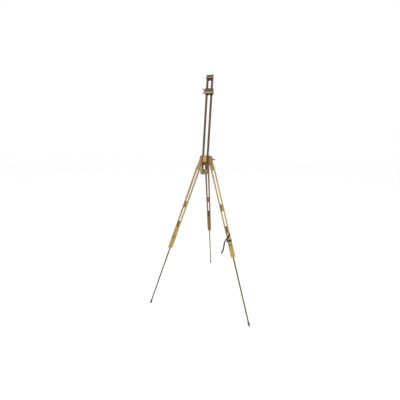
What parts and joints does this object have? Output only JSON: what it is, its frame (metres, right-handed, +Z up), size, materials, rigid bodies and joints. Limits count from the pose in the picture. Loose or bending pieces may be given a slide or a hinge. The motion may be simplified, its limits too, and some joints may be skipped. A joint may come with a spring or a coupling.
{
  "type": "field easel",
  "caption": "Painter's folding field easel in beech: telescopic legs, a slotted sliding mast, an upper canvas holder, a lower canvas rest, wing nuts and a closing strap.",
  "frame": {"origin": "on the floor under the middle of the easel's box", "axes": "+Z up; the canvas side faces -Y and the rear leg goes towards +Y; +X is the right-hand side seen from the canvas side"},
  "size_m": [0.9324, 0.7804, 1.9633],
  "materials": {
    "pale_beech": "oiled, fine straight grain",
    "golden_beech": "oiled, warmer and darker",
    "mast_beech": "stained brown, satin",
    "head_beech": "varnished, satin",
    "dark_steel": "dull, darkened",
    "black_rubber": "matte",
    "black_plastic": "matte, moulded",
    "black_webbing": "woven"
  },
  "bodies": {
    "head": {"head_front_plate": "head_beech", "head_core": "head_beech", "head_back_plate": "head_beech", "head_ear_left": "head_beech", "head_ear_right": "head_beech", "mast_guide_tongue": "head_beech", "hinge_pin_left": "dark_steel", "hinge_pin_right": "dark_steel", "rear_hinge_bolt": "dark_steel", "rear_hinge_washer": "dark_steel", "mast_clamp_stud": "dark_steel"},
    "rear_hinge_nut": {"rear_hinge_wing_nut": "dark_steel"},
    "mast_clamp_toggle": {"mast_clamp_toggle": "head_beech"},
    "mast": {"mast_rail_left": "mast_beech", "mast_rail_right": "mast_beech", "mast_top_block": "mast_beech", "mast_bottom_block": "mast_beech", "mast_top_bar": "head_beech"},
    "rest": {"rest_shelf": "head_beech", "rest_bolt": "dark_steel", "rest_washer": "dark_steel"},
    "rest_nut": {"rest_wing_nut": "dark_steel"},
    "holder": {"holder_saddle": "mast_beech", "holder_front_bar": "head_beech", "holder_slide_block": "mast_beech"},
    "holder_screw": {"holder_wing_screw": "dark_steel"},
    "front_left_leg": {"front_left_hinge_block": "pale_beech", "front_left_slat_left": "pale_beech", "front_left_slat_right": "pale_beech", "front_left_slat_bridge": "pale_beech", "front_left_guide_block": "golden_beech", "front_left_slat_bolt": "dark_steel"},
    "front_right_leg": {"front_right_hinge_block": "pale_beech", "front_right_slat_left": "pale_beech", "front_right_slat_right": "pale_beech", "front_right_slat_bridge": "pale_beech", "front_right_guide_block": "golden_beech", "front_right_slat_bolt": "dark_steel", "strap_upper_turn": "black_webbing", "strap_lower_turn": "black_webbing", "strap_buckle": "black_plastic", "strap_tail": "black_webbing"},
    "rear_leg": {"rear_hinge_block": "pale_beech", "rear_slat_left": "pale_beech", "rear_slat_right": "pale_beech", "rear_slat_bridge": "pale_beech", "rear_guide_block": "golden_beech", "rear_slat_bolt": "dark_steel"},
    "front_left_screw": {"front_left_wing_screw": "dark_steel"},
    "front_right_screw": {"front_right_wing_screw": "dark_steel"},
    "rear_screw": {"rear_wing_screw": "dark_steel"},
    "front_left_rod": {"front_left_rod": "golden_beech", "front_left_rod_head": "golden_beech", "front_left_rod_tip": "black_rubber"},
    "front_right_rod": {"front_right_rod": "golden_beech", "front_right_rod_head": "golden_beech", "front_right_rod_tip": "black_rubber"},
    "rear_rod": {"rear_rod": "golden_beech", "rear_rod_head": "golden_beech", "rear_rod_tip": "black_rubber"}
  },
  "joints": [
    {"name": "front_left_fold", "type": "hinge", "parent": "head", "child": "front_left_leg", "pos_m": [-0.037, -0.185, 1.35376], "axis": [0, -0.9898, 0.1426], "range_deg": [0, 17]},
    {"name": "front_right_fold", "type": "hinge", "parent": "head", "child": "front_right_leg", "pos_m": [0.037, -0.185, 1.35376], "axis": [0, 0.9898, -0.1426], "range_deg": [0, 17]},
    {"name": "rear_fold", "type": "hinge", "parent": "head", "child": "rear_leg", "pos_m": [0, -0.15032, 1.35179], "axis": [-1, 0, 0], "range_deg": [0, 29]},
    {"name": "front_left_rod_slide", "type": "slide", "parent": "front_left_leg", "child": "front_left_rod", "axis": [0.294, 0.1363, 0.946], "range_m": [0, 0.45]},
    {"name": "front_left_screw_turn", "type": "hinge", "parent": "front_left_leg", "child": "front_left_screw", "pos_m": [-0.24694, -0.29648, 0.68034], "axis": [0, -0.9898, 0.1426], "continuous": true},
    {"name": "front_right_rod_slide", "type": "slide", "parent": "front_right_leg", "child": "front_right_rod", "axis": [-0.294, 0.1363, 0.946], "range_m": [0, 0.45]},
    {"name": "front_right_screw_turn", "type": "hinge", "parent": "front_right_leg", "child": "front_right_screw", "pos_m": [0.24694, -0.29648, 0.68034], "axis": [0, -0.9898, 0.1426], "continuous": true},
    {"name": "rear_rod_slide", "type": "slide", "parent": "rear_leg", "child": "rear_rod", "axis": [0, -0.3649, 0.9311], "range_m": [0, 0.45]},
    {"name": "rear_screw_turn", "type": "hinge", "parent": "rear_leg", "child": "rear_screw", "pos_m": [0, 0.12351, 0.69224], "axis": [0, 0.9311, 0.3649], "continuous": true},
    {"name": "mast_slide", "type": "slide", "parent": "head", "child": "mast", "axis": [0, 0.1426, 0.9898], "range_m": [-0.43, 0.01]},
    {"name": "rest_slide", "type": "slide", "parent": "mast", "child": "rest", "axis": [0, 0.1426, 0.9898], "range_m": [0, 0.025]},
    {"name": "holder_slide", "type": "slide", "parent": "mast", "child": "holder", "axis": [0, -0.1426, -0.9898], "range_m": [-0.06, 0.4]},
    {"name": "rear_hinge_nut_turn", "type": "hinge", "parent": "head", "child": "rear_hinge_nut", "pos_m": [0.0496, -0.15032, 1.35179], "axis": [1, 0, 0], "continuous": true},
    {"name": "mast_clamp_toggle_turn", "type": "hinge", "parent": "head", "child": "mast_clamp_toggle", "pos_m": [0, -0.22605, 1.35563], "axis": [0, -0.9898, 0.1426], "continuous": true},
    {"name": "rest_nut_turn", "type": "hinge", "parent": "rest", "child": "rest_nut", "pos_m": [0, -0.21877, 1.25961], "axis": [0, 0.9898, -0.1426], "continuous": true},
    {"name": "holder_screw_turn", "type": "hinge", "parent": "holder", "child": "holder_screw", "pos_m": [-0.0313, -0.14496, 1.85315], "axis": [-1, 0, 0], "continuous": true}
  ]
}
